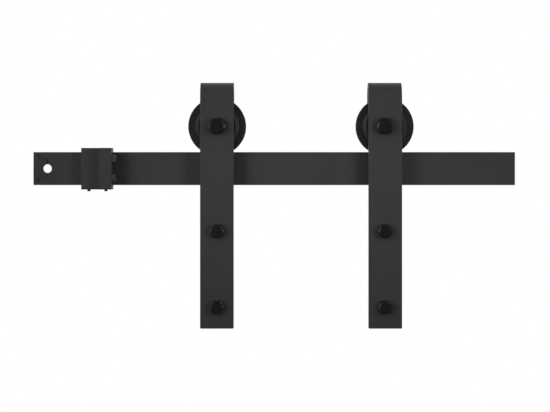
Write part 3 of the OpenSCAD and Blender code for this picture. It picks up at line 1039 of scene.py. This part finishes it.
ball_tree, sizes = new_tree(
    "ball_ring", Count="count", Pitch="size", Radius="size", Middle="vector", Material="material",
)
circle = node(ball_tree, "GeometryNodeMeshCircle", {"Vertices": sizes["Count"], "Radius": sizes["Pitch"]})
circle = node(
    ball_tree,
    "GeometryNodeTransform",
    {"Geometry": circle.outputs[0], "Translation": sizes["Middle"], "Rotation": TO_WALL},
)
ball = node(
    ball_tree,
    "GeometryNodeMeshUVSphere",
    {"Segments": BALL_SEGMENTS, "Rings": BALL_RINGS, "Radius": sizes["Radius"]},
)
balls = node(
    ball_tree,
    "GeometryNodeInstanceOnPoints",
    {"Points": circle.outputs[0], "Instance": ball.outputs[0]},
)
end_tree(ball_tree, balls.outputs[0], sizes["Material"])

for side in SIDES:
    cad_node = f"{side}_bearing_balls"
    piece = grow(
        f"dressed_{cad_node}", ball_tree, bpy.data.meshes.new("balls"), Count=BALL_COUNT,
        Pitch=BALL_PITCH * MM, Radius=BALL_RADIUS, Middle=middle(f"{side}_bearing_inner_race"),
        Material=MATERIALS["bearing_steel"],
    )
    hand_over(piece, cad_node)
    cage = frame["nodes"][f"{side}_bearing_cage"]
    cage.data.materials.clear()
    cage.data.materials.append(MATERIALS["zinc_steel"])
print("balls:", len(SIDES) * BALL_COUNT)

# %% [markdown]
# ## Threads
#
# The bolts of the solids are plain rods. A thread is a radius that rises and falls along a helix. It could
# be a swept helix, but that leaves loose ends at both sides, so a grid is rolled to a rod instead: at each
# of its points, the turns made along the rod less the share of a turn round it give the phase, and a folded
# ramp of the phase gives the V of the thread. The thread fades in at the shank, and the rod's end is
# tapered. The formula is written as a list, and each row becomes one Math node.

# %% Formula of the thread
HALF = 0.5
CREST_FLAT = 0.12
# Each row: the new value, the operation, and the one or two values that it is worked out from
THREAD_FORMULA = [
    ("turned share", "ADD", "grid x", HALF),
    ("length share", "ADD", "grid y", HALF),
    ("along", "MULTIPLY", "length share", "Length"),
    ("turns", "DIVIDE", "along", "Pitch"),
    ("phase", "SUBTRACT", "turns", "turned share"),
    ("fold", "PINGPONG", "phase", HALF),
    ("ramp", "DIVIDE", "fold", HALF),
    ("past crest", "SUBTRACT", "ramp", CREST_FLAT),
    ("slope", "DIVIDE", "past crest", 1 - 2 * CREST_FLAT),
    ("flat crest", "MAXIMUM", "slope", 0),
    ("flat root", "MINIMUM", "flat crest", 1),
    ("fade in", "MINIMUM", "turns", 1),
    ("cut", "MULTIPLY", "flat root", "fade in"),
    ("cut depth", "MULTIPLY", "cut", "Depth"),
    ("threaded", "SUBTRACT", "Radius", "cut depth"),
    ("to end", "SUBTRACT", "Length", "along"),
    ("end radius", "SUBTRACT", "Radius", "Chamfer"),
    ("tapered", "ADD", "end radius", "to end"),
    ("radius", "MINIMUM", "threaded", "tapered"),
    ("angle", "MULTIPLY", "turned share", 2 * math.pi),
    ("cosine", "COSINE", "angle", 0),
    ("sine", "SINE", "angle", 0),
    ("x", "MULTIPLY", "radius", "cosine"),
    ("z", "MULTIPLY", "radius", "sine"),
]
print("the thread's formula has", len(THREAD_FORMULA), "rows")

# %% Tree: threaded rod
THREAD_SIDES = 48
SEAM_MERGE = 0.01 * MM

rod_tree, sizes = new_tree(
    "threaded_rod", Radius="size", Length="size", Pitch="size", Depth="size", Chamfer="size", Rows="count",
    Count="count", Start="vector", Step="vector", Material="material",
)
grid = node(
    rod_tree,
    "GeometryNodeMeshGrid",
    {"Size X": 1, "Size Y": 1, "Vertices X": THREAD_SIDES + 1, "Vertices Y": sizes["Rows"]},
)
point = node(rod_tree, "GeometryNodeInputPosition").outputs[0]
point = node(rod_tree, "ShaderNodeSeparateXYZ", {0: point}).outputs
values = {"grid x": point["X"], "grid y": point["Y"]}
values.update({label: sizes[label] for label in ("Radius", "Length", "Pitch", "Depth", "Chamfer")})
for name, operation, first, second in THREAD_FORMULA:
    operands = {0: values.get(first, first), 1: values.get(second, second)}
    values[name] = node(rod_tree, "ShaderNodeMath", operands, operation=operation).outputs[0]
place = node(
    rod_tree, "ShaderNodeCombineXYZ", {"X": values["x"], "Y": values["along"], "Z": values["z"]}
)
rod = node(
    rod_tree, "GeometryNodeSetPosition", {"Geometry": grid.outputs[0], "Position": place.outputs[0]}
)
# The first and the last column of the grid meet, and become one
rod = node(rod_tree, "GeometryNodeMergeByDistance", {"Geometry": rod.outputs[0], "Distance": SEAM_MERGE})
places = node(
    rod_tree,
    "GeometryNodeMeshLine",
    {"Count": sizes["Count"], "Start Location": sizes["Start"], "Offset": sizes["Step"]},
)
rods = node(
    rod_tree,
    "GeometryNodeInstanceOnPoints",
    {"Points": places.outputs[0], "Instance": rod.outputs[0]},
)
end_tree(rod_tree, rods.outputs[0], sizes["Material"])

# %% [markdown]
# ## Heads of the bolts
#
# A hexagon head is forged, and its end is turned to a cone, so a ring of chamfer runs round its flat end
# face. Head and plain shank come from the solid, because their sizes are right there: a plane cuts the rod
# off where the thread starts, the head's end is inset to give the ring, and a Bevel softens the corners
# later.

# %% Head helpers
HEAD_CHAMFER = 1.1 * MM
HEAD_SLOPE = math.radians(32)
HEAD_ZONE = 2 * MM


def close(shape):
    """Closes the open ends of a shape, and turns its faces outwards."""
    bmesh.ops.holes_fill(shape, edges=[edge for edge in shape.edges if edge.is_boundary])
    bmesh.ops.recalc_face_normals(shape, faces=shape.faces)


def ring_chamfer(shape, front_y):
    """Widens the chamfer of bolt heads to a cone all round, and leaves their end faces where they are."""
    drop = HEAD_CHAMFER * math.tan(HEAD_SLOPE)
    for vertex in shape.verts:
        if vertex.co.y < front_y + HEAD_ZONE:
            vertex.co.y += drop
    facing = [face for face in shape.faces if face.normal.y < -PARALLEL]
    ends = [face for face in facing if face.calc_center_median().y < front_y + HEAD_ZONE]
    bmesh.ops.inset_individual(shape, faces=ends, thickness=HEAD_CHAMFER, depth=drop)
    return len(ends)


def head_end(name, cut_y):
    """The front of a bolt's solid, up to where its thread starts."""
    shape = cad_shape(name)
    bmesh.ops.bisect_plane(
        shape, geom=shape.verts[:] + shape.edges[:] + shape.faces[:], dist=MERGE_DISTANCE,
        plane_co=(0, cut_y, 0), plane_no=(0, 1, 0), clear_outer=True,
    )
    close(shape)
    print(name, "heads with a ring chamfer:", ring_chamfer(shape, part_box(name)[0].y))
    return shape


print(f"a head's chamfer is {HEAD_CHAMFER / MM:.1f} mm wide")

# %% [markdown]
# ## Bolts and nuts
#
# The door bolts are threaded over the back of the door's thickness, and go on with a slimmer thread through
# washer and nut, as their solids do. The axle bolt is plain up to its nut. Head and rods could stay apart,
# but a bolt is one piece, so they are put in one mesh. Nuts could get a thread inside too, but their bolts
# hide it, so they are bevelled copies of their solids.

# %% Bolt helpers
HEXAGON_EDGE = 0.1 * MM
THREAD_ROWS_PER_PITCH = 8


def thread(cut, radius, start, end_y, chamfer, count, step):
    """Threaded rods from a starting point back to a plane, as one shape."""
    length = end_y - start.y
    piece = grow(
        "thread", rod_tree, bpy.data.meshes.new("thread"), Radius=radius, Length=length, Pitch=cut["pitch"],
        Depth=cut["depth"], Chamfer=chamfer, Rows=int(THREAD_ROWS_PER_PITCH * length / cut["pitch"]) + 1,
        Count=count, Start=start, Step=step, Material=black_oxide,
    )
    shape = as_shape(piece)
    close(shape)
    return shape


def bolt(cad_node, head, rods):
    """A bolt from its head and its threaded rods, in the place of its CAD node."""
    piece = bevelled(f"dressed_{cad_node}", head, HEXAGON_EDGE)
    whole = bmesh.new()
    whole.from_mesh(piece.data)
    for rod in rods:
        whole.from_mesh(to_mesh("rod", rod))
    whole.to_mesh(piece.data)
    whole.free()
    return hand_over(piece, cad_node)


print("a thread has", THREAD_ROWS_PER_PITCH, "rows to a turn")

# %% Bolts and nuts
DOOR_CUT = {"pitch": 1.5 * MM, "depth": 0.7 * MM}
DOOR_BOLT_RADIUS = 5 * MM
DOOR_TIP_RADIUS = 4.5 * MM
DOOR_THREAD_REACH = 26 * MM
AXLE_CUT = {"pitch": 1.75 * MM, "depth": 0.8 * MM}
AXLE_RADIUS = 6 * MM
NO_CHAMFER = 0.0
END_CHAMFER = 1 * MM

for side in SIDES:
    cad_node = f"{side}_door_bolts"
    lower_bolt, upper_bolt = bolt_pair(side)
    step = upper_bolt - lower_bolt
    door_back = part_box(f"{side}_door_washers")[0].y
    thread_start = door_back - DOOR_THREAD_REACH
    shank = thread(
        DOOR_CUT, DOOR_BOLT_RADIUS, lower_bolt + Vector((0, thread_start, 0)), door_back, NO_CHAMFER,
        BOLTS_PER_STRAP, step,
    )
    tip = thread(
        DOOR_CUT, DOOR_TIP_RADIUS, lower_bolt + Vector((0, door_back, 0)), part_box(cad_node)[1].y,
        END_CHAMFER, BOLTS_PER_STRAP, step,
    )
    bolt(cad_node, head_end(cad_node, thread_start), [shank, tip])

    cad_node = f"{side}_axle_bolt"
    axle = middle(f"{side}_wheel")
    nut_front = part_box(f"{side}_axle_nut")[0].y
    tip = thread(
        AXLE_CUT, AXLE_RADIUS, Vector((axle.x, nut_front, axle.z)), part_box(cad_node)[1].y, END_CHAMFER,
        count=1, step=Vector(),
    )
    bolt(cad_node, head_end(cad_node, nut_front), [tip])

    for name in ("axle_nut", "door_nuts"):
        cad_node = f"{side}_{name}"
        hand_over(bevelled(f"dressed_{cad_node}", cad_shape(cad_node), HEXAGON_EDGE), cad_node)
print("bolts and nuts done")

# %% [markdown]
# ## Size
#
# Dressing a part must not change its size. A look at the render would miss a millimetre, so the box of the
# solids, kept from the start, is written down.

print("CAD box", [list(v) for v in cad_box])
